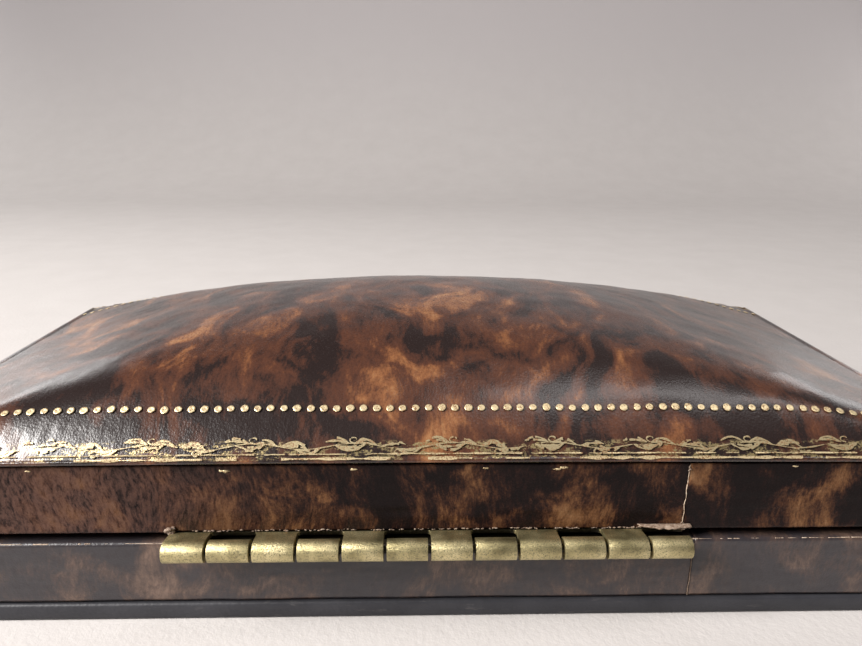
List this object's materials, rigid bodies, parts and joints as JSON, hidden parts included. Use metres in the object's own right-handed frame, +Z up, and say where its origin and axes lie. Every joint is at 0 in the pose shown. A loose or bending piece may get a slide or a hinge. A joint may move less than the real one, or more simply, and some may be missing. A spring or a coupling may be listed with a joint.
{
  "type": "leather jewellery case",
  "caption": "Domed antique jewellery case: tree-calf leather over a wooden carcass, knuckled brass hinge at the back, push-button catch, velvet and satin inside.",
  "frame": {"origin": "centre of the footprint, on the surface the case stands on", "axes": "X along the width, Y from the front (button, -Y) to the back (hinge, +Y), Z up"},
  "size_m": [0.14, 0.0718, 0.0354],
  "materials": {
    "tree_calf_leather": "glossy polished calf, mottled red-brown and black like a tree calf, gilt tooled, worn",
    "dark_covering_paper": "matt black-brown leatherette over board",
    "box_wood": "plain sawn hardwood, hidden under the leather",
    "aged_brass": "satin, olive-gold with age",
    "steel": "plain wire and strip",
    "velvet": "dark red cotton velvet",
    "satin": "ivory silk satin"
  },
  "bodies": {
    "base": {"bottom_board": "dark_covering_paper", "underside_cover": "dark_covering_paper", "base_leather_band": "tree_calf_leather", "base_wall_back": "box_wood", "base_wall_front": "box_wood", "base_wall_left": "box_wood", "base_wall_right": "box_wood", "base_lip": "velvet", "velvet_surround": "velvet", "well_cushion": "velvet", "hinge_lower_leaf": "aged_brass", "hinge_pin": "steel", "lower_leaf_nail_1": "aged_brass", "lower_leaf_nail_2": "aged_brass", "lower_leaf_nail_3": "aged_brass", "button_bezel": "aged_brass", "catch_case": "aged_brass", "catch_spring": "steel"},
    "lid": {"lid_top_leather": "tree_calf_leather", "lid_dome_board": "box_wood", "lid_rim_leather": "tree_calf_leather", "lid_wall_back": "box_wood", "lid_wall_front": "box_wood", "lid_wall_left": "box_wood", "lid_wall_right": "box_wood", "lid_satin_pad": "satin", "lid_lining": "satin", "hinge_upper_leaf": "aged_brass", "upper_leaf_nail_1": "aged_brass", "upper_leaf_nail_2": "aged_brass", "upper_leaf_nail_3": "aged_brass", "catch_hook": "aged_brass", "hook_nail_1": "aged_brass", "hook_nail_2": "aged_brass"},
    "button": {"push_button": "aged_brass", "catch_bolt": "steel"}
  },
  "joints": [
    {"name": "lid_hinge", "type": "hinge", "parent": "base", "child": "lid", "pos_m": [0, 0.0346, 0.0118], "axis": [-1, 0, 0], "range_deg": [0, 105]},
    {"name": "button_press", "type": "slide", "parent": "base", "child": "button", "axis": [0, 1, 0], "range_m": [0, 0.0015], "stiffness_N_per_m": 400, "springref_m": -0.001, "deforming": ["catch_spring"]}
  ]
}
